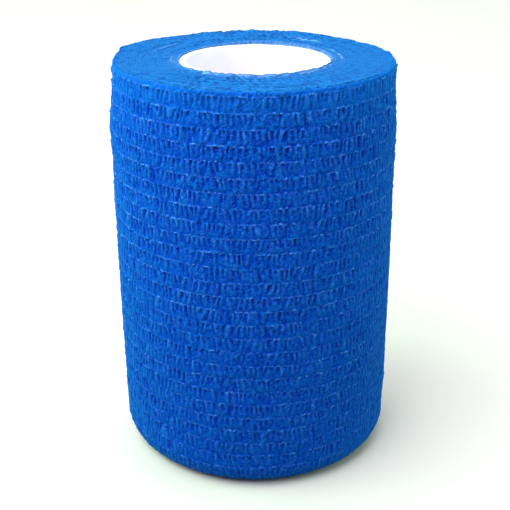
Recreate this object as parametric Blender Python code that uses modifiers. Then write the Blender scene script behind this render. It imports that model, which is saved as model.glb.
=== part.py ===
"""Roll of cohesive bandage on a white plastic core, standing on its end.

Metres, +Z up. The origin is the middle of the bottom face, on the axis of the core.
The bandage is a strip of thin puckered cloth with elastic threads running along it.
It is wound in a spiral round the core, with the cut end at the back (+Y), and both
ends of the roll are the cut edges of all its turns. The roll is modelled as one solid
of its wound form, and the core is a plain tube inside it.
"""

import math

import bmesh
import bpy
import numpy as np

# Driving dimensions of the roll
BANDAGE_WIDTH = 0.075
ROLL_DIAMETER = 0.052
TURN_THICKNESS = 0.0006

# Driving dimensions of the core
CORE_DIAMETER = 0.0275
CORE_WALL = 0.0013
CORE_LIFT = 0.0002
CORE_TOP_DEPTH = 0.0002
CORE_CHAMFER = 0.0003
FIT_GAP = 0.0003

# The elastic threads, and the cloth that puffs out between them
THREAD_PITCH = 0.00268
FIRST_THREAD_DEPTH = 0.0004
GROOVE_DEPTH = 0.00038
GROOVE_HALF_WIDTH = 0.00045
PUFF_UNEVENNESS = 0.00008
THREAD_WANDER = 0.00014

# The soft form that the wound cloth takes
MID_BULGE = 0.00026
TOP_ROUND = 0.0008
BOTTOM_ROUND = 0.0041
TOP_LEAN = 0.0005
RIM_STEPS = 4
FOOT_STEPS = 5

# A few inner turns stand proud of the end face and of the core, most at the back and to
# the right. They are counted in turns out from the core.
RAISED_HEIGHT = 0.00055
RAISED_ANGLE = math.radians(55)
RAISED_EDGE = 0.5
RAISED_SHOULDER = 2.0
RAISED_TO = 4.0

# The cut end lies at the back, as a small slope from the last turn to the one below
CUT_END_ANGLE = math.radians(90)
CUT_END_SLOPE = math.radians(1.2)

ROLL_STATIONS = 54
CORE_STATIONS = 60
SHARP_ANGLE = math.radians(40)
SEED = 11

ROLL_RADIUS = ROLL_DIAMETER / 2
CORE_RADIUS = CORE_DIAMETER / 2
ROLL_BORE_RADIUS = CORE_RADIUS + FIT_GAP


def clear_scene():
    """Start from an empty scene."""
    for item in list(bpy.data.objects):
        bpy.data.objects.remove(item, do_unlink=True)


def make_material(name, colour, roughness):
    """Principled material of one linear colour."""
    material = bpy.data.materials.new(name)
    material.use_nodes = True
    shader = material.node_tree.nodes["Principled BSDF"]
    shader.inputs["Base Color"].default_value = (*colour, 1.0)
    shader.inputs["Roughness"].default_value = roughness
    shader.inputs["Metallic"].default_value = 0.0
    return material


def thread_heights():
    """Heights of the threads on the straight part of the side, lowest first.

    The topmost thread lies in the soft rim and the lowest in the drawn-in foot, so
    both are left out.
    """
    highest = BANDAGE_WIDTH - FIRST_THREAD_DEPTH - THREAD_PITCH
    count = int((highest - BOTTOM_ROUND) / THREAD_PITCH) + 1
    return highest - THREAD_PITCH * np.arange(count)[::-1]


def side_radius(turn, height):
    """Radius of the smooth outer face: the spiral falls by one thickness in a turn."""
    spiral = TURN_THICKNESS * (0.5 - turn)
    share = 2 * height / BANDAGE_WIDTH - 1
    return ROLL_RADIUS + spiral + MID_BULGE * (1 - share**2)


def lean(height):
    """Sideways shift along X of a level, nothing at mid height."""
    return -TOP_LEAN * (height / BANDAGE_WIDTH - 0.5)


def corner(steps):
    """Inward and endward shares of a quarter circle, from the side to the end face."""
    angles = np.linspace(0, math.pi / 2, steps)
    return 1 - np.cos(angles), np.sin(angles)


def roll_outline(turn, angle, puffs, wanders):
    """Closed outline of the wound cloth at one station.

    It goes up the outside, inwards over the top, down the inside of the winding and
    outwards along the bottom. Each thread draws the side in to a narrow groove, and the
    cloth puffs out to its own height in the band between two threads.
    """
    threads = thread_heights() + wanders
    beside = GROOVE_HALF_WIDTH * np.array([-1, 0, 1])
    heights = (threads[:, None] + beside).ravel()
    in_groove = np.full(len(threads), -GROOVE_DEPTH)
    relief = np.stack([puffs[:-1], in_groove, puffs[1:]], axis=1).ravel()
    side = np.stack([side_radius(turn, heights) + relief, heights], axis=1)

    inward, endward = corner(FOOT_STEPS)
    foot_radius = side_radius(turn, BOTTOM_ROUND)
    foot = np.stack(
        [foot_radius - BOTTOM_ROUND * inward, BOTTOM_ROUND * (1 - endward)], axis=1
    )
    inward, endward = corner(RIM_STEPS)
    rim_radius = side_radius(turn, BANDAGE_WIDTH - TOP_ROUND)
    rim = np.stack(
        [rim_radius - TOP_ROUND * inward, BANDAGE_WIDTH - TOP_ROUND * (1 - endward)],
        axis=1,
    )

    raised = RAISED_HEIGHT * ((1 + math.cos(angle - RAISED_ANGLE)) / 2) ** 2
    last_flat = ROLL_BORE_RADIUS + RAISED_TO * TURN_THICKNESS
    shoulder = ROLL_BORE_RADIUS + RAISED_SHOULDER * TURN_THICKNESS
    edge = ROLL_BORE_RADIUS + RAISED_EDGE * TURN_THICKNESS
    end_face = [
        (last_flat, BANDAGE_WIDTH),
        (shoulder, BANDAGE_WIDTH + 0.8 * raised),
        (edge, BANDAGE_WIDTH + raised),
        (ROLL_BORE_RADIUS, BANDAGE_WIDTH + raised - FIT_GAP),
        (ROLL_BORE_RADIUS, 0),
    ]
    outline = np.concatenate([foot[::-1][:-1], side, rim, np.array(end_face)])
    radii, levels = outline[:, 0], outline[:, 1]
    across = radii * math.cos(angle)
    across = across + np.where(radii > last_flat, lean(levels), 0)
    return np.stack([across, radii * math.sin(angle), levels], axis=1)


def loft_round(name, outlines):
    """Mesh through closed outlines that follow each other round the axis.

    No two outlines are alike, because the spiral shrinks and every band puffs out in
    its own way, so this is a loft and not a turned profile.
    """
    stations, points, _ = outlines.shape
    here = np.arange(stations * points).reshape(stations, points)
    beside = np.roll(here, -1, axis=0)
    quads = np.stack(
        [here, beside, np.roll(beside, -1, axis=1), np.roll(here, -1, axis=1)], axis=-1
    )
    mesh = bpy.data.meshes.new(name)
    mesh.from_pydata(outlines.reshape(-1, 3).tolist(), [], quads.reshape(-1, 4).tolist())
    mesh.validate()
    return mesh


def make_bandage(collection):
    """Wound cloth: one outline a station, from the cut end down to the turn below it."""
    rng = np.random.default_rng(SEED)
    count = len(thread_heights())
    puffs = rng.normal(0, PUFF_UNEVENNESS, (ROLL_STATIONS, count + 1))
    wanders = rng.normal(0, THREAD_WANDER, (ROLL_STATIONS, count))
    wanders = (np.roll(wanders, 1, axis=0) + wanders + np.roll(wanders, -1, axis=0)) / 3
    turns = np.linspace(0, 1, ROLL_STATIONS)
    angles = CUT_END_ANGLE + turns * (2 * math.pi - CUT_END_SLOPE)
    outlines = [
        roll_outline(turn, angle, puff, wander)
        for turn, angle, puff, wander in zip(turns, angles, puffs, wanders)
    ]
    mesh = loft_round("bandage_roll", np.array(outlines))
    mesh.shade_smooth()
    mesh.set_sharp_from_angle(angle=SHARP_ANGLE)
    mesh.materials.append(make_material("blue_cohesive_cloth", (0.007, 0.115, 0.62), 0.88))
    collection.objects.link(bpy.data.objects.new("bandage_roll", mesh))


def make_core(collection):
    """White moulded tube: a chamfered wall section turned round the axis."""
    outer = CORE_RADIUS
    inner = CORE_RADIUS - CORE_WALL
    low = CORE_LIFT
    high = BANDAGE_WIDTH - CORE_TOP_DEPTH
    cut = CORE_CHAMFER
    section = [
        (outer, high - cut),
        (outer, low + cut),
        (outer - cut, low),
        (inner + cut, low),
        (inner, low + cut),
        (inner, high - cut),
        (inner + cut, high),
        (outer - cut, high),
    ]
    mesh = bpy.data.meshes.new("core_tube")
    shape = bmesh.new()
    corners = [shape.verts.new((radius, 0, level)) for radius, level in section]
    for first, second in zip(corners, corners[1:] + corners[:1]):
        shape.edges.new((first, second))
    shape.to_mesh(mesh)
    shape.free()
    core = bpy.data.objects.new("core_tube", mesh)
    collection.objects.link(core)
    turn = core.modifiers.new("turned_tube", "SCREW")
    turn.axis = "Z"
    turn.angle = 2 * math.pi
    turn.steps = CORE_STATIONS
    turn.render_steps = CORE_STATIONS
    turn.use_merge_vertices = True
    turn.merge_threshold = 0.00001
    turn.use_smooth_shade = True
    mesh.materials.append(make_material("white_moulded_plastic", (0.88, 0.89, 0.93), 0.35))


def main():
    clear_scene()
    collection = bpy.data.collections.new("cohesive_bandage_roll")
    bpy.context.scene.collection.children.link(collection)
    make_bandage(collection)
    make_core(collection)


main()
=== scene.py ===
# %% [markdown]
# # A roll of cohesive bandage
#
# The real thing is one long strip of thin elastic cloth, wound about twenty times round a
# white plastic core and stood on its end. The cloth is a soft nonwoven sheet stuck to elastic
# threads while they are stretched. When they shrink back, the sheet puckers into short ribs
# between one thread and the next, and those ribs are what the eye knows the roll by.
#
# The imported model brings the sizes: the wound cloth as one plain solid, and the core. Here
# each of them gets a fine surface that takes its place. Nothing is moved or resized.

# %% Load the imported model
import math

import bpy
import numpy as np
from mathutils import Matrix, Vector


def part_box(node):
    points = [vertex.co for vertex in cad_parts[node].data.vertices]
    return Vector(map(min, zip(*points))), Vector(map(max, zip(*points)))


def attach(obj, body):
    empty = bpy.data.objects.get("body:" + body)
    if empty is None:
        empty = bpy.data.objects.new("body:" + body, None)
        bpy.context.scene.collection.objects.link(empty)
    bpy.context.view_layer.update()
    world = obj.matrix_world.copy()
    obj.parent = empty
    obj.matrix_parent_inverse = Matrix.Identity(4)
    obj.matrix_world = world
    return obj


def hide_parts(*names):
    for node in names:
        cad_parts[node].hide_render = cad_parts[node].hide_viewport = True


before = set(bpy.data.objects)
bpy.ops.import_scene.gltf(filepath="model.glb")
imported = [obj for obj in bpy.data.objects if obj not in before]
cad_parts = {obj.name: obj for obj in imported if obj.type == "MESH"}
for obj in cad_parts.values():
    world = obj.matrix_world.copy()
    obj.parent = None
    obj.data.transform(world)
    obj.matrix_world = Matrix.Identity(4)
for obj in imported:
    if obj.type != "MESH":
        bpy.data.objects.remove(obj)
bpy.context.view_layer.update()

# %% [markdown]
# ## The sizes that everything follows
#
# All lengths are in metres, and MM keeps them readable. The core's sizes are read from its
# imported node. The roll's own radius is that of its middle turn of cloth: the spiral stands
# half a thickness over it at the cut end, and half a thickness under it one turn later.

# %% Sizes of the roll and of its core
MM = 0.001
FULL_TURN = 2 * math.pi
QUARTER = math.pi / 2

core_low, core_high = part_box("core_tube")
CORE_RADIUS = core_high.x
CORE_WALL = 1.3 * MM

BANDAGE_WIDTH = 75 * MM
ROLL_RADIUS = 26 * MM
TURN = 0.6 * MM
MID_BULGE = 0.26 * MM
TOP_ROUND = 0.42 * MM
BOTTOM_ROUND = 4.5 * MM
TOP_LEAN = 0.5 * MM
CUT_END_ANGLE = math.radians(90)
print("core radius in mm:", round(CORE_RADIUS / MM, 2), "top at", round(core_high.z / MM, 2))


# %% [markdown]
# ## Shapes are arrays of points
#
# Every piece is a grid: rows of points that go along an outline, and columns that go round
# the axis. A formula gives all the points at once, and one function turns any such grid into
# a mesh. If the rows join up as well as the columns, the skin is closed and has an inside.

# %% Helper: a grid of points becomes a mesh
def woven_faces(rows, columns):
    """Four-cornered faces over a grid whose rows and columns both join up at their ends.

    Point number row * columns + column is joined to the next column and the next row.
    Columns run anticlockwise and rows run up the outside, so faces point outwards.
    """
    here = np.arange(rows * columns).reshape(rows, columns)
    beside = np.roll(here, -1, axis=1)
    above = np.roll(here, -1, axis=0)
    beside_above = np.roll(beside, -1, axis=0)
    return np.stack([here, beside, beside_above, above], axis=-1).reshape(-1, 4)


def make_piece(name, points, faces, values=None):
    """Put points and faces into a mesh object, with named values kept at each point."""
    mesh = bpy.data.meshes.new(name)
    mesh.from_pydata(points.reshape(-1, 3), [], faces)
    mesh.shade_smooth()
    for label, numbers in (values or {}).items():
        kind = "FLOAT" if numbers.shape[-1:] != (3,) else "FLOAT_VECTOR"
        key = "value" if kind == "FLOAT" else "vector"
        attribute = mesh.attributes.new(label, kind, "POINT")
        attribute.data.foreach_set(key, numbers.astype(np.float32).ravel())
    piece = bpy.data.objects.new(name, mesh)
    bpy.context.scene.collection.objects.link(piece)
    print(name, "has", len(mesh.vertices), "points and", 2 * len(mesh.polygons), "triangles")
    return piece


# %% [markdown]
# ## Unevenness that is the same at each run
#
# Cloth is never even. Tables of seeded random numbers are read in between their entries, with
# a slow start and stop, so that the value drifts smoothly along a band or over a face.

# %% Helpers: smooth random values
rng = np.random.default_rng(7)


def eased(share):
    """Slow start and slow stop between 0 and 1, flat outside: three squares less two cubes."""
    share = np.clip(share, 0, 1)
    return share * share * (3 - 2 * share)


def drift(place, table, row=0):
    """Value of one row of a table at a place, eased from each whole place to the next."""
    left = np.floor(place).astype(int)
    knots = table.shape[1]
    first = table[row, left % knots]
    second = table[row, (left + 1) % knots]
    return first + (second - first) * eased(place - left)


def mottle(across, along, table):
    """Value of a whole table at a pair of places, eased both ways."""
    row = np.floor(along).astype(int)
    rows = table.shape[0]
    first = drift(across, table, row % rows)
    second = drift(across, table, (row + 1) % rows)
    return first + (second - first) * eased(along - row)


def signed_table(rows, knots):
    """Random numbers between -1 and 1."""
    return rng.uniform(-1, 1, (rows, knots))


# %% [markdown]
# ## The smooth form of the roll
#
# The strip runs from the top edge, over a small soft rim, straight down the side, and under a
# rounder foot where the roll has been pressed. One number, the depth down the strip, leads
# along all three: two quarter circles with a straight line between. The side swells a little
# at mid height, the spiral loses one thickness in a turn, and the whole roll leans slightly.

# %% Formula of the smooth form
RIM_LENGTH = TOP_ROUND * QUARTER
SIDE_LENGTH = BANDAGE_WIDTH - TOP_ROUND - BOTTOM_ROUND
FOOT_START = RIM_LENGTH + SIDE_LENGTH
FLOOR_CLEARANCE = 0.02 * MM
print("straight part of the side in mm:", round(SIDE_LENGTH / MM, 2))


def meridian(depth):
    """Inset, height and outward direction at a depth down the strip.

    The rim turns through a quarter circle while depth runs its length, then height falls
    as depth grows, then the foot turns through its own quarter circle.
    """
    rim = np.clip(depth / TOP_ROUND, 0, QUARTER)
    drop = np.clip(depth - RIM_LENGTH, 0, SIDE_LENGTH)
    foot = np.clip((depth - FOOT_START) / BOTTOM_ROUND, 0, QUARTER)
    inset = TOP_ROUND * (1 - np.sin(rim)) + BOTTOM_ROUND * (1 - np.cos(foot))
    height = BANDAGE_WIDTH - TOP_ROUND * (1 - np.cos(rim)) - drop - BOTTOM_ROUND * np.sin(foot)
    outward = np.sin(rim) * np.cos(foot)
    upward = np.cos(rim) - np.sin(foot)
    return inset, height, outward, upward


def side_radius(turn, height):
    """Radius of the outermost turn: spiral, and a parabola for the swell at mid height."""
    share = 2 * height / BANDAGE_WIDTH - 1
    return ROLL_RADIUS + TURN * (0.5 - turn) + MID_BULGE * (1 - share**2)


def lean(height):
    """Shift along X of a level: to the left in proportion to its height over mid height."""
    return -TOP_LEAN * (height / BANDAGE_WIDTH - 0.5)


# %% The rim and the shoulder under it, and any point on the roll
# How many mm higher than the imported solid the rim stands, at angles in degrees
RIM_LIFTS = [
    {"angle": 4, "lift": 0.3},
    {"angle": 8, "lift": 0.6},
    {"angle": 11, "lift": 0.4},
    {"angle": 14, "lift": 0.2},
    {"angle": 20, "lift": 0.3},
    {"angle": 26, "lift": 0.25},
    {"angle": 34, "lift": 0.06},
    {"angle": 42, "lift": 0.2},
    {"angle": 49, "lift": 0.12},
    {"angle": 55, "lift": 0.28},
    {"angle": 64, "lift": 0.37},
    {"angle": 73, "lift": 0.47},
    {"angle": 90, "lift": 0.38},
    {"angle": 101, "lift": 0.18},
    {"angle": 112, "lift": 0.32},
    {"angle": 124, "lift": 0.18},
    {"angle": 135, "lift": 0.38},
    {"angle": 146, "lift": 0.58},
    {"angle": 158, "lift": 0.72},
    {"angle": 167, "lift": 1.0},
    {"angle": 170, "lift": 0.6},
    {"angle": 173, "lift": 0.35},
    {"angle": 177, "lift": 0.4},
    {"angle": 184, "lift": 0.15},
    {"angle": 270, "lift": 0.0},
]
LIFTED_PART = 6 * MM

# The topmost part is drawn in as a soft shoulder, more on the left than on the right
SHOULDER_DRAW = 0.54 * MM
SHOULDER_TILT = 0.23 * MM
SHOULDER_PART = 12 * MM


def rim_lift(angle):
    """Extra height of the rim at an angle, read in between the rows of the short list."""
    angles = [row["angle"] for row in RIM_LIFTS]
    lifts = [row["lift"] for row in RIM_LIFTS]
    return MM * np.interp(np.degrees(angle), angles, lifts, period=360)


def shoulder_draw(angle):
    """How far the top edge is drawn in at an angle: a mean, less a cosine, so most on the left."""
    return SHOULDER_DRAW - SHOULDER_TILT * np.cos(angle)


def on_roll(depth, turn, angle, proud):
    """Points that stand proud of the smooth roll, measured square to its surface."""
    inset, height, outward, upward = meridian(depth)
    radius = side_radius(turn, height) - inset + proud * outward
    near_top = eased(1 - (BANDAGE_WIDTH - height) / LIFTED_PART)
    shoulder = eased(1 - (BANDAGE_WIDTH - height) / SHOULDER_PART)
    radius = radius - shoulder_draw(angle) * shoulder
    level = height + proud * upward + rim_lift(angle) * near_top
    level = np.maximum(level, FLOOR_CLEARANCE)
    across = radius * np.cos(angle) + lean(height)
    return np.stack([across, radius * np.sin(angle), level], axis=-1)


# %% [markdown]
# ## Rows that follow the threads
#
# Threads lie 2.68 mm apart. A row of points lies on every thread and nine more lie in the band
# below it, closest together just under the thread, where the cloth arches over it in a thin
# bright line, partly its own lighting and partly a painted highlight. The threads wander a
# little, and the rows wander with them, so that the thinnest detail never has to cut across
# the grid.

# %% Grid of the outermost turn
THREAD_PITCH = 2.68 * MM
FIRST_THREAD = 0.857 * MM
THREAD_WANDER = 0.09 * MM
WANDERS = 22
STRIP_TOP = 0.03 * MM
STRIP_END = 76.9 * MM
COLUMNS = 900
ROW_PLACES = np.array([0, 0.035, 0.08, 0.15, 0.25, 0.37, 0.51, 0.66, 0.81, 0.93])
ROW_MARGIN = 0.02

# A place on the strip is counted in bands: band 1 starts at the first thread. The whole part
# of a place numbers its band, and the fraction is the share of the way down it.
top_place = (STRIP_TOP - FIRST_THREAD) / THREAD_PITCH + 1
end_place = (STRIP_END - FIRST_THREAD) / THREAD_PITCH + 1
BANDS = math.ceil(end_place) + 1
inner_places = (np.arange(BANDS)[:, None] + ROW_PLACES).ravel()
inner_places = inner_places[inner_places > top_place + ROW_MARGIN]
inner_places = inner_places[inner_places < end_place - ROW_MARGIN]
places = np.concatenate([[top_place], inner_places, [end_place]])[::-1, None]
band = np.floor(places).astype(int)
down = places - band

turn = np.arange(COLUMNS) / (COLUMNS - 1)
angle = CUT_END_ANGLE + FULL_TURN * np.arange(COLUMNS) / COLUMNS

wander_table = signed_table(BANDS + 1, WANDERS + 1) * THREAD_WANDER
wander = drift(turn * WANDERS, wander_table, band) * (1 - down)
wander = wander + drift(turn * WANDERS, wander_table, band + 1) * down
strip_depth = FIRST_THREAD + (places - 1) * THREAD_PITCH + wander
strip_depth = np.clip(strip_depth, STRIP_TOP, STRIP_END)
print("outermost turn:", strip_depth.shape[0], "rows and", COLUMNS, "columns")

# %% [markdown]
# ## The puckered ribs
#
# In each band the cloth stands in short upright ribs about 1 mm apart. Many neighbours are
# joined at the top by a small arch over the thread, some are joined again at the bottom, and
# the cloth sinks to a slot between two ribs, dark with its own shade and with painted shade.
# A rib is a bell curve across and fades towards the bottom of its band. Every rib has its own
# strength, width, tilt and length, and no band keeps step with the next.
#
# The ribs are crispest near the top and flatten towards the foot, where the roll has been
# pressed. Fine lumps of fibre lie over them, strongest in front and towards the top.

# %% Sizes of the ribs
RIB_PITCH = 1.0 * MM
RIBS = round(FULL_TURN * ROLL_RADIUS / RIB_PITCH)
RIB_HEIGHT = 0.27 * MM
ARCH_HEIGHT = 0.22 * MM
SILL_HEIGHT = 0.12 * MM
SLOT_DEPTH = 0.36 * MM
GROOVE_DEPTH = 0.02 * MM
PUFF_HEIGHT = 0.02 * MM
FIBRE_LUMP = 0.15 * MM
BROAD_LUMP = 0.06 * MM

# How far ribs stray along their band, in rib pitches, and how often they change their way
SWAY = 0.45
SWAYS_PER_RIB = 0.5
TILT = 0.8
TILTS_PER_RIB = 0.8
TILT_PIVOT = 0.4
WIGGLE = 0.16
WIGGLES_PER_RIB = 1.7
WIGGLES_IN_BAND = 2.6

# A crest's strength at the top of its band, what it loses on the way down, how much painted
# highlight it gets, and how softly an arch ends on either side, in rib pitches
CREST_TOP = 1.15
CREST_LOST = 0.6
CREST_HIGHLIGHT = 0.25
ARCH_SOFTNESS = 0.12

# Places and lengths down a band, as shares of the thread pitch
RIB_START = 0.08
RIB_FADE = 0.25
ARCH_PLACE = 0.03
ARCH_WIDTH = 0.042
SILL_PLACE = 0.82
SILL_BOW = 0.12
SILL_WIDTH = 0.08
SLOT_START = 0.05
SLOT_OPENING = 0.07
SLOT_FADE = 0.2

# %% Every rib, arch, sill and slot gets numbers of its own
band_shift = rng.random((BANDS, 1))
sway_table = signed_table(BANDS, RIBS)
wiggle_table = signed_table(90, 311)
tilt_table = signed_table(BANDS, RIBS)
rib_strength = rng.uniform(0.45, 1.2, (BANDS, RIBS))
rib_width = rng.uniform(0.22, 0.36, (BANDS, RIBS))
rib_end = rng.uniform(0.5, 1.0, (BANDS, RIBS))
arch_strength = (rng.random((BANDS, RIBS)) < 0.75) * rng.uniform(0.3, 1, (BANDS, RIBS))
arch_reach = rng.uniform(0.08, 0.36, (BANDS, RIBS))
arch_drop = rng.uniform(0, 0.04, (BANDS, RIBS))
sill_strength = (rng.random((BANDS, RIBS)) < 0.3) * rng.uniform(0.5, 1, (BANDS, RIBS))
slot_strength = rng.uniform(0.3, 1.05, (BANDS, RIBS))
slot_width = rng.uniform(0.2, 0.36, (BANDS, RIBS))
slot_end = rng.uniform(0.25, 0.85, (BANDS, RIBS))
print("ribs:", BANDS, "bands of", RIBS)


# %% Formula of the ribs
def bell(offset, width):
    """Bell curve, 1 in the middle: e to the power of minus the square of offset over width."""
    return np.exp(-((offset / width) ** 2))


def ribs(along, band, down):
    """Height of ribs, arches and slots, and the painted highlight on arches and crests, at a place
    in a band.

    A count along the band is bent by drifting sway, tilt and wiggle. Its whole part numbers
    the rib and its fraction is the way across it. Half a rib further on it numbers the gap
    between two ribs, where an arch at the top, a sill at the bottom and a slot may lie.
    """
    count = along + band_shift[band, 0] + SWAY * drift(along * SWAYS_PER_RIB, sway_table, band)
    tilted = drift(along * TILTS_PER_RIB, tilt_table, band)
    count = count + TILT * (down - TILT_PIVOT) * tilted
    wiggled = mottle(along * WIGGLES_PER_RIB, (band + down) * WIGGLES_IN_BAND, wiggle_table)
    count = count + WIGGLE * wiggled
    rib = np.floor(count).astype(int) % RIBS
    across = count - np.floor(count) - 0.5
    fade = eased(down / RIB_START) * (1 - eased((down - rib_end[band, rib]) / RIB_FADE))
    fade = fade * (CREST_TOP - CREST_LOST * down)
    crest = bell(across, rib_width[band, rib]) * rib_strength[band, rib] * fade

    gap = np.floor(count - 0.5).astype(int) % RIBS
    beside = count - 0.5 - np.floor(count - 0.5) - 0.5
    bow = np.abs(2 * beside) ** 3
    arch = bell(down - ARCH_PLACE - arch_drop[band, gap], ARCH_WIDTH) * arch_strength[band, gap]
    arch = arch * (1 - eased((np.abs(beside) - arch_reach[band, gap]) / ARCH_SOFTNESS))
    sill = bell(down - SILL_PLACE + SILL_BOW * bow, SILL_WIDTH) * sill_strength[band, gap]
    opening = eased((down - SLOT_START) / SLOT_OPENING)
    reach = opening * (1 - eased((down - slot_end[band, gap]) / SLOT_FADE))
    slot = bell(beside, slot_width[band, gap]) * slot_strength[band, gap] * reach
    height = RIB_HEIGHT * crest + ARCH_HEIGHT * arch + SILL_HEIGHT * sill
    # The second value is a painted highlight on the arches and on the tops of the crests
    return height - SLOT_DEPTH * slot, np.maximum(arch, CREST_HIGHLIGHT * crest**2)


# %% Heights over the whole outermost turn
# Strengths at the top of the roll, and what each loses on the way to the foot
CRISPNESS = 1.08
CRISPNESS_LOST = 0.5
FINENESS = 1.3
FINENESS_LOST = 0.43
# Paleness is the painted highlight on arches and crests
PALENESS = 1.15
PALENESS_LOST = 0.45

# Left is crisper than right, patches differ, and grain is weaker at the two sides
CRISPER_LEFT = 0.12
PATCH_CRISPNESS = 0.25
GRAIN_LOST_AT_SIDES = 0.8

# The puckers flatten over the soft rim
RIM_PART = 0.6 * MM
RIM_CALM = 0.6

# Soft marks in a full turn and in a band, of each kind
LUMPS = 420
LUMPS_IN_BAND = 7.5
RIB_LUMPS = 380
RIB_LUMPS_IN_BAND = 3.7
BROAD_LUMPS = 26
BROAD_LUMPS_IN_BAND = 0.38
PATCHES = 34
PATCHES_IN_BAND = 0.45

# Ribs keep this share of their height, give or take their lumpiness, and a groove is wider
# above its thread than below it
RIB_SHARE = 0.7
RIB_LUMPINESS = 0.6
GROOVE_ABOVE = 0.06
GROOVE_BELOW = 0.022

along = turn * RIBS + np.zeros_like(places)
lump_table = signed_table(260, LUMPS)
broad_table = signed_table(12, BROAD_LUMPS)
patch_table = signed_table(14, PATCHES)
crispness = CRISPNESS - CRISPNESS_LOST * places / BANDS - CRISPER_LEFT * np.cos(angle)
patchy = mottle(turn * PATCHES, places * PATCHES_IN_BAND, patch_table)
crispness = crispness + PATCH_CRISPNESS * patchy
rib_heights, paleness = ribs(along, band, down)
groove = bell(down, GROOVE_BELOW) + bell(1 - down, GROOVE_ABOVE)
rib_lumps = mottle(turn * RIB_LUMPS, places * RIB_LUMPS_IN_BAND, lump_table)
lumpy = RIB_SHARE + RIB_LUMPINESS * rib_lumps
relief = crispness * lumpy * rib_heights + PUFF_HEIGHT * np.sin(math.pi * down)
relief = relief - GROOVE_DEPTH * groove
fineness = FINENESS - FINENESS_LOST * places / BANDS
fineness = fineness * (1 - GRAIN_LOST_AT_SIDES * np.cos(angle) ** 2)
fibre_lumps = mottle(turn * LUMPS, places * LUMPS_IN_BAND, lump_table)
relief = relief + FIBRE_LUMP * fineness * fibre_lumps
# The painted highlight weakens towards the foot
paleness = paleness * (PALENESS - PALENESS_LOST * places / BANDS)
rim_share = 1 - eased((strip_depth - STRIP_TOP) / RIM_PART)
relief = relief * (1 - RIM_CALM * rim_share)
broad = BROAD_LUMP * mottle(turn * BROAD_LUMPS, places * BROAD_LUMPS_IN_BAND, broad_table)
print("relief in mm from", round(relief.min() / MM, 2), "to", round(relief.max() / MM, 2))

# %% [markdown]
# ## The outermost turn, in three tiers
#
# This turn alone shows its face, so it takes most of the points. It is a closed skin, the
# outer face and a plain inner one a thickness below it, and the columns close with a step at
# the cut end, where the strip lies on its own last turn. The cut end bends a little from side
# to side, lifts off by a third of a millimetre, and is pale with cut fibres. A mesh of over
# 200,000 triangles is thinned when it is exported, so the turn is made in three tiers that
# meet at threads, where the groove hides the joint.

# %% The cut end, and all the points of the outer face
CUT_WAVE = 0.25 * MM
CUT_WAVES_IN_BAND = 0.6
CUT_REACH = 0.02
CUT_LIFT = 0.3 * MM
CUT_LIFT_START = 3 * MM
CUT_FLATNESS = 0.5
CUT_FUZZ = 0.002
CUT_PALENESS = 0.8

at_end = eased(1 - turn / CUT_REACH)
near_cut = at_end + eased(1 - (1 - turn) / CUT_REACH)
cut_table = signed_table(1, 30)
cut_wave = drift(places * CUT_WAVES_IN_BAND, cut_table) * CUT_WAVE / ROLL_RADIUS
bent_angle = angle + cut_wave * near_cut
cut_lift = CUT_LIFT * at_end * eased(strip_depth / CUT_LIFT_START)
proud = relief * (1 - CUT_FLATNESS * at_end) + broad + cut_lift
outer_points = on_roll(strip_depth, turn, bent_angle, proud)
paleness = np.maximum(paleness, CUT_PALENESS * (turn < CUT_FUZZ))
print("outer face reaches, in mm:", np.round(outer_points.max(axis=(0, 1)) / MM, 1))

# %% Three tiers of the outermost turn
STRIP_THICKNESS = 0.56 * MM
END_THICKNESS = 0.12 * MM
TAPER = 2.5 * MM
WALL_ROWS = 8

# Parts of the strip where the material paints light near the top and paints shade towards the foot
PAINTED_TOP_LIGHT = 0.3
UPPER_PART = 8 * MM
PAINTED_FOOT_SHADE = 0.16
LOWER_START = 10 * MM
LOWER_PART = 55 * MM

# First and last place, in bands, of each tier. The last tier stops where the strip ends.
TIER_PLACES = {
    "outer_turn_top": (0, 10),
    "outer_turn_middle": (10, 20),
    "outer_turn_low": (20, 40),
}


def inner_wall(depths):
    """Plain inner face of the strip, a thickness in, thinning towards the bottom edge."""
    full = eased((STRIP_END - depths) / TAPER)
    thickness = END_THICKNESS + (STRIP_THICKNESS - END_THICKNESS) * full
    return on_roll(depths, turn, angle, -thickness)


def beside_wall(numbers, wall):
    """Values of the outer face, with nothing on the hidden inner wall."""
    return np.concatenate([numbers, np.zeros(wall.shape[:2])])


# Painted light over the top of the strip, and painted shade growing towards the foot
top_light_share = PAINTED_TOP_LIGHT * (1 - eased(strip_depth / UPPER_PART))
foot_shade_share = PAINTED_FOOT_SHADE * eased((strip_depth - LOWER_START) / LOWER_PART)
tiers = []
for name, (first, last) in TIER_PLACES.items():
    chosen = ((places >= first) & (places <= last))[:, 0]
    top, bottom = strip_depth[chosen].min(), strip_depth[chosen].max()
    wall = inner_wall(np.linspace(top, bottom, WALL_ROWS)[:, None] + np.zeros(COLUMNS))
    points = np.concatenate([outer_points[chosen], wall])
    values = {
        "relief": beside_wall(relief[chosen] / MM, wall),
        "paleness": beside_wall(paleness[chosen], wall),
        "rim": beside_wall(rim_share[chosen], wall),
        "fineness": beside_wall(fineness[chosen], wall),
        "upper": beside_wall(top_light_share[chosen], wall),
        "lower": beside_wall(foot_shade_share[chosen], wall),
    }
    tiers.append(make_piece(name, points, woven_faces(*points.shape[:2]), values))
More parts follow.
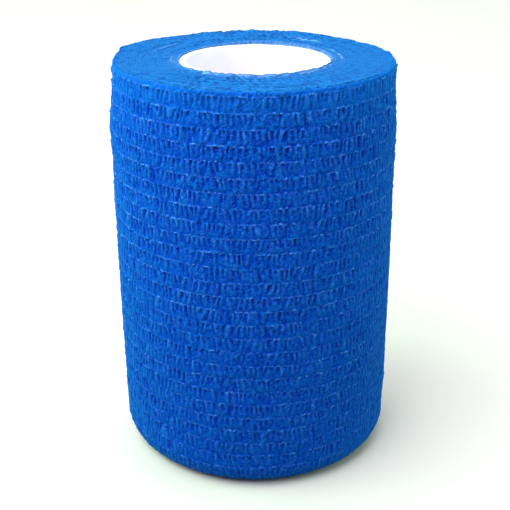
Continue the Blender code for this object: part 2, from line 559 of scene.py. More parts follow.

# %% [markdown]
# ## The turns under it, seen at both ends
#
# The end of the roll is the edges of all the turns, lying side by side in a spiral 0.6 mm
# apart. The edges are soft and slightly uneven in height: small tufts of cloth stand up all
# over, with calmer patches between, and a few turns near the core stand proud of it. The turn
# next to the outermost one leans against its soft edge, so no gap shows round the rim. The way
# across a turn is a fraction that repeats, so its sine and cosine are kept at each point: they
# pass over the start of the spiral without a jump, and the material paints shade into the fine
# crease between two turns from them.

# %% Formula of the end face
END_COLUMNS = 640
BORE_RADIUS = CORE_RADIUS + 0.06 * MM
CREASE_DEPTH = 0.04 * MM
CREASE_NEAR_CORE = 1.5
CREASE_PART = 2.5 * MM
LEVEL_UNEVENNESS = 0.09 * MM
FLUSH_LIFT = 0.04 * MM
EDGE_ROUND = 0.14 * MM

# Marks in a full turn, and the height and size across the turns of each kind
LEVELS = 13
CRINKLES = 220
CRINKLE_BEND = 0.12
EDGE_LUMPS = 320
EDGE_LUMP = 0.05 * MM
EDGE_LUMP_SIZE = 0.3 * MM
TUFTS = 210
TUFT_LUMP = 0.32 * MM
TUFT_SIZE = 1.5 * MM
CALM_PATCHES = 30
CALM_SIZE = 2 * MM
TUFTED_SHARE = 0.65
TUFTED_CHANGE = 0.8

# Tufts lost at both sides, more lost on the right, and how much is left beside the core
TUFTS_LOST_AT_SIDES = 0.6
TUFTS_LOST_ON_RIGHT = 0.15
LEFT_BY_CORE = 0.3
CORE_CALM_PART = 1.5 * MM

end_turn = np.arange(END_COLUMNS) / (END_COLUMNS - 1)
end_angle = CUT_END_ANGLE + FULL_TURN * np.arange(END_COLUMNS) / END_COLUMNS
level_table = signed_table(1, 300)
edge_table = signed_table(60, EDGE_LUMPS)
streak_table = signed_table(1, EDGE_LUMPS)
crinkle_table = signed_table(40, CRINKLES)
tuft_table = signed_table(17, TUFTS)
calm_table = signed_table(11, CALM_PATCHES)
print("turns from the core outwards:", round(float(ROLL_RADIUS - BORE_RADIUS) / TURN, 1))


def turn_count(radius):
    """Number of turns from the outside to a radius, with the small crinkles of each edge."""
    smooth = (ROLL_RADIUS + TURN * (0.5 - end_turn) - radius) / TURN
    return smooth + CRINKLE_BEND * mottle(end_turn * CRINKLES, smooth, crinkle_table)


def end_relief(radius, count):
    """Height of the end face over its own level.

    Each turn is a rounded ridge. Its level drifts along the strip, which is counted in
    whole turns plus the share of this one. Small lumps of fibre and larger tufts lie over it
    all, fewer in calm patches, at the two sides, and beside the core.
    """
    near_core = 1 + CREASE_NEAR_CORE * bell(radius - BORE_RADIUS, CREASE_PART)
    ridge = -CREASE_DEPTH * near_core * (0.5 + 0.5 * np.cos(FULL_TURN * count))
    strip_length = np.floor(count) + end_turn
    level = LEVEL_UNEVENNESS * drift(strip_length * LEVELS, level_table)
    lumps = EDGE_LUMP * mottle(end_turn * EDGE_LUMPS, radius / EDGE_LUMP_SIZE, edge_table)
    tufts = TUFT_LUMP * mottle(end_turn * TUFTS, radius / TUFT_SIZE, tuft_table)
    calm = mottle(end_turn * CALM_PATCHES, radius / CALM_SIZE, calm_table)
    tufts = tufts * eased(TUFTED_SHARE + TUFTED_CHANGE * calm)
    rightward = np.cos(end_angle)
    tufts = tufts * (1 - TUFTS_LOST_AT_SIDES * rightward**2 - TUFTS_LOST_ON_RIGHT * rightward)
    away = eased((radius - BORE_RADIUS) / CORE_CALM_PART)
    return ridge + level + (lumps + tufts) * (LEFT_BY_CORE + (1 - LEFT_BY_CORE) * away)


# %% Turns that stand proud, all together or one by one
# The inner turns, counted out from the core, that stand up together
RAISED_HEIGHT = 0.55 * MM
RAISED_ANGLE = math.radians(55)
RAISED_COUNTS = [0, 0.4, 2, 3.5]
RAISED_SHARES = [0.9, 1, 0.8, 0]

# Single turns that stand proud over a part of the way round, with angles in degrees and
# lengths in mm. The pale part of each, a painted highlight, lies on its crest or, by flank,
# outside of it.
PROUD_TURNS = [
    {"angle": 69, "reach": 9, "radius": 20.8, "height": 0.3, "pale": 0.25, "flank": 0},
    {"angle": 57, "reach": 12, "radius": 19.7, "height": 0.34, "pale": 0.32, "flank": 0},
    {"angle": 14, "reach": 26, "radius": 16.0, "height": 0.3, "pale": 0.24, "flank": 0},
    {"angle": 183, "reach": 14, "radius": 15.0, "height": 0.25, "pale": 0.1, "flank": 0},
    {"angle": 150, "reach": 18, "radius": 19.5, "height": 0.15, "pale": 0.1, "flank": 0},
    {"angle": 275, "reach": 100, "radius": 14.2, "height": 0.36, "pale": 0.36, "flank": 0.34},
]
PROUD_WIDTH = 0.25 * MM
PALE_WIDTH = 0.3 * MM
FLANK_NARROWING = 0.4

# Each fades out over the last two thirds of its reach. Small breaks lower and dull it, at
# most down to these shares.
FADE_STEEPNESS = 1.5
BREAKS = 110
LEAST_HEIGHT = 0.65
LEAST_PALENESS = 0.15


def raised_turns(radius):
    """Inner turns that stand proud of the core: a cosine bell round it, a short list across."""
    from_core = (radius - BORE_RADIUS) / TURN
    most = RAISED_HEIGHT * ((1 + np.cos(end_angle - RAISED_ANGLE)) / 2) ** 2
    return most * np.interp(from_core, RAISED_COUNTS, RAISED_SHARES)


def proud_turns(radius):
    """Height and painted highlight of the single proud turns: a bell across each, faded out along
    it.
    """
    proud = np.zeros(radius.shape)
    pale = np.zeros(radius.shape)
    for row in PROUD_TURNS:
        away = (np.degrees(end_angle) - row["angle"] + 180) % 360 - 180
        share = eased(FADE_STEEPNESS * (1 - np.abs(away) / row["reach"]))
        from_crest = radius - row["radius"] * MM
        flank = row["flank"] * MM
        proud = proud + row["height"] * MM * share * bell(from_crest, PROUD_WIDTH)
        pale_width = PALE_WIDTH - FLANK_NARROWING * flank
        pale = pale + row["pale"] * share * bell(from_crest - flank, pale_width)
    whole = eased(0.4 + 2 * mottle(end_turn * BREAKS, radius / MM, edge_table))
    proud = proud * (LEAST_HEIGHT + (1 - LEAST_HEIGHT) * whole)
    return proud, pale * (LEAST_PALENESS + (1 - LEAST_PALENESS) * whole)


# %% The turns under the outermost one
TOP_RINGS = 96
BOTTOM_RINGS = 40
HIDDEN_CLEARANCE = 0.03 * MM
RIM_REACH = 0.15 * MM
SEAT_CORNER = 0.25 * MM
LIFT_START = 19 * MM
SOFT_EDGE_PART = 0.4 * MM

# Up the hidden outside, which keeps just clear of the outermost turn
foot_depth = np.linspace(FOOT_START + BOTTOM_ROUND, FOOT_START, 6)[1:]
upper_depth = [0.5 * BANDAGE_WIDTH, RIM_LENGTH + TURN]
hidden_depth = np.concatenate([[STRIP_END], foot_depth, upper_depth])[:, None]
hidden_wall = on_roll(hidden_depth, end_turn, end_angle, -(STRIP_THICKNESS + HIDDEN_CLEARANCE))

# Inwards over the top, ring by ring
under_turn = side_radius(end_turn, BANDAGE_WIDTH) - STRIP_THICKNESS - HIDDEN_CLEARANCE
rim_radius = under_turn + RIM_REACH - shoulder_draw(end_angle)
share_in = np.linspace(0, 1, TOP_RINGS)[:, None]
top_radius = rim_radius + (BORE_RADIUS - rim_radius) * share_in
top_count = turn_count(top_radius)
top_relief = end_relief(top_radius, top_count)
flush = FLUSH_LIFT * (1 - eased((rim_radius - top_radius) / TURN))
soft_edge = EDGE_ROUND * (1 - eased((top_radius - BORE_RADIUS) / SOFT_EDGE_PART))
lift = rim_lift(end_angle) * eased((top_radius - LIFT_START) / (ROLL_RADIUS - LIFT_START))
proud, proud_highlight = proud_turns(top_radius)
top_height = BANDAGE_WIDTH + top_relief + raised_turns(top_radius)
top_height = top_height + proud + lift + flush - soft_edge


def ring_points(radius, height):
    """Points round the axis, with the roll's lean, which fades out beside the core."""
    leaning = lean(height) * eased((radius - BORE_RADIUS) / (4 * TURN))
    across = radius * np.cos(end_angle) + leaning
    along_y = radius * np.sin(end_angle) + 0 * height
    return np.stack([across, along_y, height + 0 * radius], axis=-1)


# Down the bore, and outwards along the bottom
BORE_DEPTHS = np.array([0.06, 0.2, 0.45, 1.0, 8.0, 40.0, 74.0])[:, None] * MM
BORE_END = 0.3 * MM
bore_height = np.maximum(top_height[-1] - BORE_DEPTHS, BORE_END)
seat_radius = under_turn - BOTTOM_ROUND - SEAT_CORNER
share_out = np.linspace(0, 1, BOTTOM_RINGS)[:, None]
bottom_radius = BORE_RADIUS + (seat_radius - BORE_RADIUS) * share_out
bottom_count = turn_count(bottom_radius)
bottom_relief = end_relief(bottom_radius, bottom_count)
bottom_height = FLOOR_CLEARANCE + np.maximum(0, -bottom_relief)

points = np.concatenate([
    hidden_wall,
    ring_points(top_radius, top_height),
    ring_points(BORE_RADIUS + 0 * bore_height, bore_height),
    ring_points(bottom_radius, bottom_height),
])


def beside_hidden(top, bore, bottom):
    """Values of the whole outline, with nothing on its hidden outside."""
    return np.concatenate([np.zeros(hidden_wall.shape[:2]), top, bore, bottom])


# %% Values that its material reads
# Pale cloth down the bore and on its lip, a painted highlight on proud turns, and a haze in front
# of the core
LIP_PALENESS = 0.25
LIP_WIDTH = 0.3 * MM
WALL_PALENESS = 0.3
WALL_DEEPENING = 1.2
WALL_PART = 0.9 * MM
HAZE = 0.04
HAZE_WIDTH = 2 * MM

# Fibres are counted by the way round and by a squeezed radius, so that the marks they leave
# are longer across the turns than along them, less so at the two sides
BRUSH_RADIUS = 20 * MM
BRUSH_SQUEEZE = 0.4
SIDE_SQUEEZE = 0.75
SIDE_CALM = 0.65

lip = bell(top_radius - BORE_RADIUS, LIP_WIDTH)
streaks = 0.5 + 0.25 * drift(end_turn * EDGE_LUMPS, streak_table)
wall_paleness = streaks * (WALL_PALENESS + WALL_DEEPENING * eased(BORE_DEPTHS / WALL_PART))
at_front = (1 - np.sin(end_angle)) / 2
haze = HAZE * at_front * bell(top_radius - BORE_RADIUS, HAZE_WIDTH)
top_paleness = haze + np.maximum(LIP_PALENESS * lip * streaks, proud_highlight)

mid_turn = 0.5 + 0 * bore_height
phase = FULL_TURN * beside_hidden(top_count, mid_turn, bottom_count)
at_sides = np.cos(end_angle) ** 2
squeeze = BRUSH_SQUEEZE + (SIDE_SQUEEZE - BRUSH_SQUEEZE) * at_sides
squeezed = squeeze * (beside_hidden(top_radius, bore_height, bottom_radius) - BRUSH_RADIUS)
brush_x = BRUSH_RADIUS * np.cos(end_angle) + 0 * phase
brush_y = BRUSH_RADIUS * np.sin(end_angle) + 0 * phase
values = {
    "turn_wave": np.stack([np.cos(phase), np.sin(phase), 0 * phase], axis=-1),
    "brush": np.stack([brush_x, brush_y, squeezed], axis=-1),
    "pale": beside_hidden(top_paleness, wall_paleness, 0 * bottom_count),
    "fineness": 1 - SIDE_CALM * at_sides + 0 * phase,
}
inner_turns = make_piece("inner_turns", points, woven_faces(*points.shape[:2]), values)

# %% [markdown]
# ## The core
#
# A moulded tube with a wall of 1.3 mm. Moulded edges are never knife sharp, so each of the
# four rims is a quarter circle, and the outline is turned round the axis.

# %% Core tube
RIM_RADIUS = 0.28 * MM
CORE_COLUMNS = 240
CORNER_STEPS = 5
core_inside = CORE_RADIUS - CORE_WALL
corners = [
    {"radius": CORE_RADIUS, "height": core_low.z, "out": 1, "up": -1, "start": -QUARTER},
    {"radius": CORE_RADIUS, "height": core_high.z, "out": 1, "up": 1, "start": 0},
    {"radius": core_inside, "height": core_high.z, "out": -1, "up": 1, "start": QUARTER},
    {"radius": core_inside, "height": core_low.z, "out": -1, "up": -1, "start": 2 * QUARTER},
]
outline = []
for row in corners:
    sweep = row["start"] + np.linspace(0, QUARTER, CORNER_STEPS)
    across = row["radius"] - row["out"] * RIM_RADIUS + RIM_RADIUS * np.cos(sweep)
    level = row["height"] - row["up"] * RIM_RADIUS + RIM_RADIUS * np.sin(sweep)
    outline.append(np.stack([across, level], axis=1))
outline = np.concatenate(outline)
core_angle = FULL_TURN * np.arange(CORE_COLUMNS) / CORE_COLUMNS
points = np.stack([
    outline[:, :1] * np.cos(core_angle),
    outline[:, :1] * np.sin(core_angle),
    outline[:, 1:] + 0 * core_angle,
], axis=-1)
moulded_core = make_piece("moulded_core", points, woven_faces(*points.shape[:2]))

# %% [markdown]
# ## Stray fibres
#
# A nonwoven sheet sheds. Short fibres stand off the side and the rim and blur the roll's
# outline a little. Each is a bent line with five points, wrapped in a thin three-sided tube
# that tapers to its tip, and all of them are made in one go and joined in one piece.

# %% Loose fibres
FIBRES = 900
FIBRE_RADIUS = 0.016 * MM
FIBRE_LENGTH = (0.4 * MM, 1.3 * MM)
FIBRE_ARCH = (0.05, 0.3)
FIBRE_CURL = (-0.5, 0.5)
FIBRE_TAPER = np.array([1, 1, 0.9, 0.7, 0.3])
FIBRE_POINTS = len(FIBRE_TAPER)

start_depth = rng.uniform(STRIP_TOP, STRIP_END - 2 * MM, FIBRES)
start_turn = rng.uniform(0.01, 0.99, FIBRES)
start_angle = CUT_END_ANGLE + FULL_TURN * start_turn
inset, height, outward, upward = meridian(start_depth)
normal = np.stack([outward * np.cos(start_angle), outward * np.sin(start_angle), upward], axis=1)
around = np.stack([-np.sin(start_angle), np.cos(start_angle), np.zeros(FIBRES)], axis=1)
downhill = np.cross(around, normal)
start = on_roll(start_depth, start_turn, start_angle, np.zeros(FIBRES))
heading = rng.uniform(0, FULL_TURN, FIBRES)[:, None]
length = rng.uniform(*FIBRE_LENGTH, FIBRES)[:, None]
forward = np.cos(heading) * around + np.sin(heading) * downhill
sideways = np.cos(heading) * downhill - np.sin(heading) * around
arch_up = rng.uniform(*FIBRE_ARCH, FIBRES)[:, None]
curl = rng.uniform(*FIBRE_CURL, FIBRES)[:, None]


def fibre_point(share):
    """Point on every fibre: forward along the cloth, off it in an arch, and curling aside."""
    off = arch_up * (1.6 * share - 0.9 * share**2)
    return start + length * (share * forward + off * normal + curl * share**2 * sideways)


shares = np.linspace(0, 1, FIBRE_POINTS)
paths = np.stack([fibre_point(share) for share in shares], axis=1)
spokes = FULL_TURN * np.arange(3) / 3
thin = FIBRE_RADIUS * FIBRE_TAPER[None, :, None, None]
aside = np.cos(spokes)[:, None] * sideways[:, None, None]
off_cloth = np.sin(spokes)[:, None] * normal[:, None, None]
tubes = paths[:, :, None] + thin * (aside + off_cloth)
here = np.arange(tubes.size // 3).reshape(FIBRES, FIBRE_POINTS, 3)
low, high = here[:, :-1], here[:, 1:]
sides = np.stack([low, np.roll(low, -1, 2), np.roll(high, -1, 2), high], axis=-1).reshape(-1, 4)
ends = np.concatenate([here[:, 0, ::-1], here[:, -1]])
loose_fibres = make_piece("loose_fibres", tubes, sides.tolist() + ends.tolist())

# %% [markdown]
# ## Materials
#
# One small function adds a node with its settings and its links, and one turns a colour as it
# is written in sRGB into the linear numbers that a shader works with.

# %% Helpers: colours and nodes
def linear(hex_colour):
    """Linear red, green and blue, and full alpha, of an sRGB colour such as #1E78E0."""
    parts = [int(hex_colour[i:i + 2], 16) / 255 for i in (1, 3, 5)]
    return [p / 12.92 if p <= 0.04045 else ((p + 0.055) / 1.055) ** 2.4 for p in parts] + [1.0]


def add(tree, kind, inputs=None, **settings):
    """Add a node, set its settings, and link or set each input that is named."""
    made = tree.nodes.new("ShaderNode" + kind)
    for name, value in settings.items():
        setattr(made, name, value)
    for name, value in (inputs or {}).items():
        if isinstance(value, bpy.types.NodeSocket):
            tree.links.new(value, made.inputs[name])
        else:
            made.inputs[name].default_value = value
    return made


def new_material(name, **sockets):
    """Material with a Principled shader whose own sockets hold the constant values."""
    print("material:", name)
    material = bpy.data.materials.new(name)
    material.use_nodes = True
    shader = material.node_tree.nodes["Principled BSDF"]
    for label, value in sockets.items():
        shader.inputs[label.replace("_", " ")].default_value = value
    return material, material.node_tree, shader


# A Mix node's inputs and output for colours, by number, because its names repeat
FACTOR, FIRST, SECOND = 0, 6, 7
COLOUR_OUT = 2

# %% [markdown]
# ### Puckered nonwoven polyester
#
# Dyed polyester fibres, laid at random and bonded with a cohesive latex. Fibres scatter light
# every way, so the cloth is rough, and its fuzz lights up at a grazing angle, which the
# sheen gives. The kept relief mixes a deep blue in the pockets with two raised blues on the
# ribs: this is painted shade in the pockets and painted light on the ribs, over the shade that
# the relief casts itself. Fine noise at 0.24 mm stands for the fibres, which are finer in truth
# and are drawn as coarse as they need to be to show.
# They cling in clumps of half a millimetre, and the dye drifts in patches of 1.6 mm.
# The values kept at each point tell where this grain fades, where arches and crests get a
# painted highlight and the cut end is pale with cut fibres, and where light is painted on near
# the top and shade near the foot.

# %% Material of the puckered side
FIBRE_GRAIN = 0.24 * MM
CLUMP_GRAIN = 0.5 * MM
TINT_GRAIN = 1.6 * MM
FUZZ_HEIGHT = 0.2 * MM
SHAKE = 0.45
FLECK_SHARE = 0.55

# The deep blue is painted shade in the pockets, and the two raised blues are painted light on the
# ribs
DEEP_BLUE = linear("#002490")
RAISED_BLUE = linear("#0448B0")
RAISED_TEAL = linear("#0254AA")
FLECK_BLUE = linear("#2070D4")
# Painted highlight on arches and crests, and the pale of the cut end's cut fibres
HIGHLIGHT_AND_CUT_END_BLUE = linear("#649CF0")
# Painted light near the top
TOP_LIGHT_BLUE = linear("#0A68C4")
# Painted shade towards the foot
FOOT_SHADE_BLUE = linear("#001848")
RIM_BLUE = linear("#08429A")

side_material, tree, shader = new_material(
    "dyed_nonwoven_polyester_puckered",
    Roughness=0.86,
    Sheen_Weight=0.4,
    Sheen_Roughness=0.4,
    Sheen_Tint=linear("#0A9890"),
    Specular_IOR_Level=0.02,
    IOR=1.5,
)
where = add(tree, "TexCoord").outputs["Object"]
fibres = add(tree, "TexNoise", {"Vector": where, "Scale": 1 / FIBRE_GRAIN, "Detail": 3}).outputs[0]
clumps = add(tree, "TexNoise", {"Vector": where, "Scale": 1 / CLUMP_GRAIN, "Detail": 3}).outputs[0]
tints = add(tree, "TexNoise", {"Vector": where, "Scale": 1 / TINT_GRAIN, "Detail": 2}).outputs[0]
kept = {}
for label in ("relief", "paleness", "fineness", "upper", "lower", "rim"):
    kept[label] = add(tree, "Attribute", attribute_name=label).outputs["Fac"]

# %% Its pockets and ribs, flecks, and painted highlights on the arches
# Painted shade in the pockets and painted light on the ribs, by how far the cloth stands out,
# shaken a little by the clumps, and which raised blue it has
shake = add(tree, "Math", {0: clumps, 1: 0.5}, operation="SUBTRACT").outputs[0]
shaking = {0: shake, 1: SHAKE, 2: kept["relief"]}
shaken = add(tree, "Math", shaking, operation="MULTIPLY_ADD").outputs[0]
relief_light_and_shade = add(tree, "MapRange", {"Value": shaken, "From Min": -0.16, "From Max": 0.3}).outputs[0]
tint = add(tree, "MapRange", {"Value": tints, "From Min": 0.38, "From Max": 0.62}).outputs[0]
tinting = {FACTOR: tint, FIRST: RAISED_BLUE, SECOND: RAISED_TEAL}
raised = add(tree, "Mix", tinting, data_type="RGBA").outputs[COLOUR_OUT]

# Flecks of single fibres, and the painted highlight on arches and crests, with the pale cut end,
# broken up into dots
grain = add(tree, "MapRange", {"Value": fibres, "From Min": 0.54, "From Max": 0.7}).outputs[0]
fine_grain = add(tree, "Math", {0: grain, 1: kept["fineness"]}, operation="MULTIPLY").outputs[0]
flecks = add(tree, "Math", {0: fine_grain, 1: FLECK_SHARE}, operation="MULTIPLY").outputs[0]
dots = add(tree, "MapRange", {"Value": clumps, "From Min": 0.48, "From Max": 0.58}).outputs[0]
spotted = add(tree, "Math", {0: dots, 1: 0.58, 2: 0.08}, operation="MULTIPLY_ADD").outputs[0]
painted_highlights_and_cut_end = add(tree, "Math", {0: kept["paleness"], 1: spotted}, operation="MULTIPLY").outputs[0]

# %% Its colours, each mixed over those before it, and its fuzz
layers = [
    # Painted shade in the pockets and painted light on the ribs
    {"share": relief_light_and_shade, "colour": raised},
    {"share": flecks, "colour": FLECK_BLUE},
    # Painted highlight on arches and crests, and the pale cut end
    {"share": painted_highlights_and_cut_end, "colour": HIGHLIGHT_AND_CUT_END_BLUE},
    # Painted light near the top
    {"share": kept["upper"], "colour": TOP_LIGHT_BLUE},
    # Painted shade towards the foot
    {"share": kept["lower"], "colour": FOOT_SHADE_BLUE},
    {"share": kept["rim"], "colour": RIM_BLUE},
]
colour = DEEP_BLUE
for layer in layers:
    mixed = {FACTOR: layer["share"], FIRST: colour, SECOND: layer["colour"]}
    colour = add(tree, "Mix", mixed, data_type="RGBA").outputs[COLOUR_OUT]
tree.links.new(colour, shader.inputs["Base Color"])

fuzz = add(tree, "Math", {0: fibres, 1: clumps}, operation="ADD").outputs[0]
fine_fuzz = add(tree, "Math", {0: fuzz, 1: kept["fineness"]}, operation="MULTIPLY").outputs[0]
bump = add(tree, "Bump", {"Height": fine_fuzz, "Strength": 1.0, "Distance": FUZZ_HEIGHT})
tree.links.new(bump.outputs["Normal"], shader.inputs["Normal"])

# %% [markdown]
# ### Edges of the wound cloth
#
# The same cloth seen edge on is a brush of cut fibre ends. It takes the light from above, so
# it looks brighter and milder than the side, with painted shade in the crease between two turns,
# soft mottling at 0.8 mm, a painted highlight on the proud turns, and a pale haze down the bore.
# The puckers of each edge point across the turns, so the grain is drawn out that way, and it is
# calmer at the two sides.

# %% Material of the wound edges
CREASE_SHARE = 0.26
CREASE_STRENGTH = 0.55
EDGE_CLUMP = 0.8 * MM
EDGE_FUZZ_HEIGHT = 0.09 * MM
EDGE_FLECK_SHARE = 0.5
EDGE_PALE_SHARE = 0.85

EDGE_SHADE = linear("#003274")
EDGE_LIGHT = linear("#064E92")
EDGE_CALM = linear("#034486")
EDGE_FLECK = linear("#0E57A0")
# Painted shade for the crease between two turns
CREASE_SHADE_BLUE = linear("#002C66")
# Pale cloth: the painted highlight on proud turns, and the pale lip and bore wall
EDGE_PALE = linear("#9CC4F8")

edge_material, tree, shader = new_material(
    "dyed_nonwoven_polyester_edges",
    Roughness=0.9,
    Sheen_Weight=0.2,
    Sheen_Roughness=0.5,
    Sheen_Tint=linear("#3C92BC"),
    Specular_IOR_Level=0.04,
    IOR=1.5,
)
brush = add(tree, "Attribute", attribute_name="brush").outputs["Vector"]
wave = add(tree, "Attribute", attribute_name="turn_wave").outputs["Vector"]
fine = add(tree, "Attribute", attribute_name="fineness").outputs["Fac"]
pale = add(tree, "Attribute", attribute_name="pale").outputs["Fac"]
fibres = add(tree, "TexNoise", {"Vector": brush, "Scale": 1 / FIBRE_GRAIN, "Detail": 2}).outputs[0]
clumps = add(tree, "TexNoise", {"Vector": brush, "Scale": 1 / EDGE_CLUMP, "Detail": 2}).outputs[0]

# %% Its creases, mottling and flecks
# The angle of the kept wave is nothing in the crease and half a turn in the middle of a ridge
cosine, sine, _ = add(tree, "SeparateXYZ", {0: wave}).outputs
phase = add(tree, "Math", {0: sine, 1: cosine}, operation="ARCTAN2").outputs[0]
nearness = add(tree, "Math", {0: phase}, operation="ABSOLUTE").outputs[0]
narrow = {"Value": nearness, "From Min": CREASE_SHARE * math.pi, "From Max": 0.0}
crease = add(tree, "MapRange", narrow).outputs[0]

# Mottled cloth, calmer at the two sides, with flecks, painted shade in the creases, and pale
# places over it
mottling = add(tree, "MapRange", {"Value": clumps, "From Min": 0.42, "From Max": 0.56}).outputs[0]
shading = {FACTOR: mottling, FIRST: EDGE_SHADE, SECOND: EDGE_LIGHT}
mottled = add(tree, "Mix", shading, data_type="RGBA").outputs[COLOUR_OUT]
grain = add(tree, "MapRange", {"Value": fibres, "From Min": 0.38, "From Max": 0.64}).outputs[0]
fine_grain = add(tree, "Math", {0: grain, 1: fine}, operation="MULTIPLY").outputs[0]
flecks = add(tree, "Math", {0: fine_grain, 1: EDGE_FLECK_SHARE}, operation="MULTIPLY").outputs[0]
painted_crease_shade = add(tree, "Math", {0: crease, 1: CREASE_STRENGTH}, operation="MULTIPLY").outputs[0]
paled = add(tree, "Math", {0: pale, 1: EDGE_PALE_SHARE}, operation="MULTIPLY").outputs[0]

# %% Its colours, again one over the other, and its fuzz
layers = [
    {"share": fine, "colour": mottled},
    {"share": flecks, "colour": EDGE_FLECK},
    # Painted shade in the creases
    {"share": painted_crease_shade, "colour": CREASE_SHADE_BLUE},
    # Pale places, the painted highlight on proud turns among them
    {"share": paled, "colour": EDGE_PALE},
]
colour = EDGE_CALM
for layer in layers:
    mixed = {FACTOR: layer["share"], FIRST: colour, SECOND: layer["colour"]}
    colour = add(tree, "Mix", mixed, data_type="RGBA").outputs[COLOUR_OUT]
tree.links.new(colour, shader.inputs["Base Color"])

fuzz = add(tree, "Math", {0: fibres, 1: crease}, operation="SUBTRACT").outputs[0]
fine_fuzz = add(tree, "Math", {0: fuzz, 1: fine}, operation="MULTIPLY").outputs[0]
bump = add(tree, "Bump", {"Height": fine_fuzz, "Strength": 0.8, "Distance": EDGE_FUZZ_HEIGHT})
tree.links.new(bump.outputs["Normal"], shader.inputs["Normal"])

# %% [markdown]
# ### White moulded plastic
#
# Polypropylene or polystyrene from a steel mould: white, half matt, with a faint waviness in
# its surface and a faint lilac in its shade.

# %% Material of the core
WAVE_LENGTH = 4 * MM
WAVE_HEIGHT = 0.02 * MM
LILAC_WHITE = linear("#D2CCE4")
CLEAR_WHITE = linear("#DCD6E8")

core_material, tree, shader = new_material(
    "white_polypropylene_moulded",
    Roughness=0.38,
    IOR=1.49,
)
where = add(tree, "TexCoord").outputs["Object"]
waves = add(tree, "TexNoise", {"Vector": where, "Scale": 1 / WAVE_LENGTH, "Detail": 2}).outputs[0]
cloudy = add(tree, "MapRange", {"Value": waves, "From Min": 0.3, "From Max": 0.7}).outputs[0]
clouding = {FACTOR: cloudy, FIRST: LILAC_WHITE, SECOND: CLEAR_WHITE}
white = add(tree, "Mix", clouding, data_type="RGBA").outputs[COLOUR_OUT]
tree.links.new(white, shader.inputs["Base Color"])
bump = add(tree, "Bump", {"Height": waves, "Strength": 0.2, "Distance": WAVE_HEIGHT})
tree.links.new(bump.outputs["Normal"], shader.inputs["Normal"])

# %% [markdown]
# ### Single polyester fibres
#
# Drawn and dyed in the mass, smooth, and a little glossier than the cloth they come from. A
# fibre is too thin to show more than its tone, which drifts between two of the cloth's blues.

# %% Material of the fibres
TONE_LENGTH = 2 * MM
BRIGHT_BLUE = linear("#1E78E0")

fibre_material, tree, shader = new_material(
    "dyed_polyester_fibre",
    Roughness=0.7,
    Specular_IOR_Level=0.1,
    IOR=1.5,
)
where = add(tree, "TexCoord").outputs["Object"]
tones = add(tree, "TexNoise", {"Vector": where, "Scale": 1 / TONE_LENGTH, "Detail": 1}).outputs[0]
tone = add(tree, "MapRange", {"Value": tones, "From Min": 0.4, "From Max": 0.6}).outputs[0]
toning = {FACTOR: tone, FIRST: RAISED_BLUE, SECOND: BRIGHT_BLUE}
toned = add(tree, "Mix", toning, data_type="RGBA").outputs[COLOUR_OUT]
tree.links.new(toned, shader.inputs["Base Color"])

# %% [markdown]
# ## Places in the imported model
#
# Each piece is hung on the body it rides on and takes its material, and the imported solid that
# it stands for is hidden. The loose fibres stand for no solid: they are extra.

# %% Dress the pieces and seat them in the frame
for piece in tiers:
    piece.data.materials.append(side_material)
    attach(piece, "root")
    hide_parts("bandage_roll")
inner_turns.data.materials.append(edge_material)
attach(inner_turns, "root")
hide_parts("bandage_roll")
loose_fibres.data.materials.append(fibre_material)
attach(loose_fibres, "root")
moulded_core.data.materials.append(core_material)
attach(moulded_core, "root")
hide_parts("core_tube")

# %% [markdown]
# ## The studio
#
# A plain pale floor that fills the view, a wide soft light above and behind the roll, a small
# one in front and above, one from each side, and a mild even sky. The wide light is strong,
# so the floor and the core come out almost white, as in an overexposed product picture, and
# the slightly green side lights turn the cloth's shoulders towards cyan.

# %% Floor
FLOOR_HALF = 3.0

floor_mesh = bpy.data.meshes.new("floor")
floor_corners = [(-1, -1), (1, -1), (1, 1), (-1, 1)]
floor_points = [(x * FLOOR_HALF, y * FLOOR_HALF, 0) for x, y in floor_corners]
floor_mesh.from_pydata(floor_points, [], [(0, 1, 2, 3)])
floor = bpy.data.objects.new("floor", floor_mesh)
bpy.context.scene.collection.objects.link(floor)
floor_material, tree, shader = new_material("white_paper_sheet", Roughness=0.9)
shader.inputs["Base Color"].default_value = linear("#ACACAC")
floor_mesh.materials.append(floor_material)


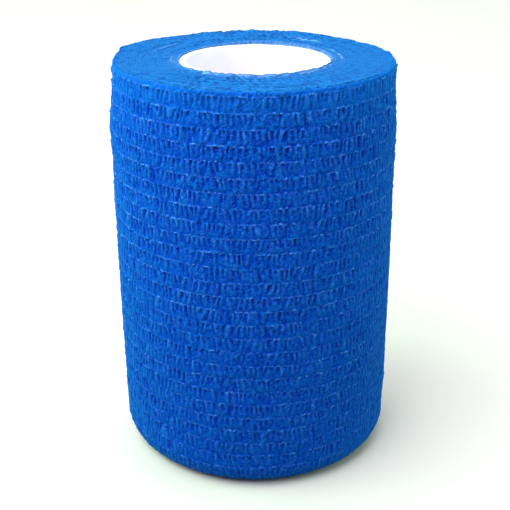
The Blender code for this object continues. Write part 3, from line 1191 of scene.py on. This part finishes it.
# %% Lights
def soft_light(name, place, aim, size, power, colour="#FFFFFF"):
    """Square area light at a place, turned towards a point."""
    data = bpy.data.lights.new(name, "AREA")
    data.shape = "SQUARE"
    data.size = size
    data.energy = power
    data.color = linear(colour)[:3]
    light = bpy.data.objects.new(name, data)
    light.location = place
    towards = np.array(aim) - np.array(place)
    light.rotation_euler = Vector(towards).to_track_quat("-Z", "Y").to_euler()
    bpy.context.scene.collection.objects.link(light)


MID_ROLL = (0, 0, BANDAGE_WIDTH / 2)
soft_light("light_above", (-0.15, 0.75, 1.0), (-0.05, 0.75, 0), 2.0, 44, "#FCFAF6")
soft_light("light_front", (-0.15, -0.18, 0.33), MID_ROLL, 0.25, 2.0)
soft_light("light_left", (-0.42, 0.02, 0.36), MID_ROLL, 0.3, 2.5, "#C4FFB6")
soft_light("light_right", (0.4, -0.05, 0.2), MID_ROLL, 0.3, 1.25, "#D8FFD0")

world = bpy.data.worlds.new("studio")
bpy.context.scene.world = world
world.use_nodes = True
world.node_tree.nodes["Background"].inputs["Color"].default_value = linear("#F4F6FA")
world.node_tree.nodes["Background"].inputs["Strength"].default_value = 0.35
bpy.context.scene.view_settings.view_transform = "Standard"

# %% [markdown]
# ## The camera
#
# The photograph was fitted with the roll's own circles: how its two ends curve gives the tilt,
# and how its sides close in towards the bottom gives the distance. The camera looks
# along +Y and down by 23 degrees.

# %% Camera
FOCAL_PIXELS = 998.18
FRAME_PIXELS = 510
SENSOR = 36.0
CAMERA_BACK = 3.4652 * 2 * ROLL_RADIUS
CAMERA_HEIGHT = BANDAGE_WIDTH + 0.7379 * 2 * ROLL_RADIUS
CAMERA_TILT = math.radians(23.17)

camera_data = bpy.data.cameras.new("camera")
camera_data.sensor_width = SENSOR
camera_data.lens = SENSOR * FOCAL_PIXELS / FRAME_PIXELS
camera_data.clip_start = 0.01
camera = bpy.data.objects.new("camera", camera_data)
camera.location = (0, -CAMERA_BACK, CAMERA_HEIGHT)
camera.rotation_euler = (QUARTER - CAMERA_TILT, 0, 0)
bpy.context.scene.collection.objects.link(camera)
bpy.context.scene.camera = camera
print("camera at", [round(value, 4) for value in camera.location])
print("lens in mm:", round(camera_data.lens, 2))
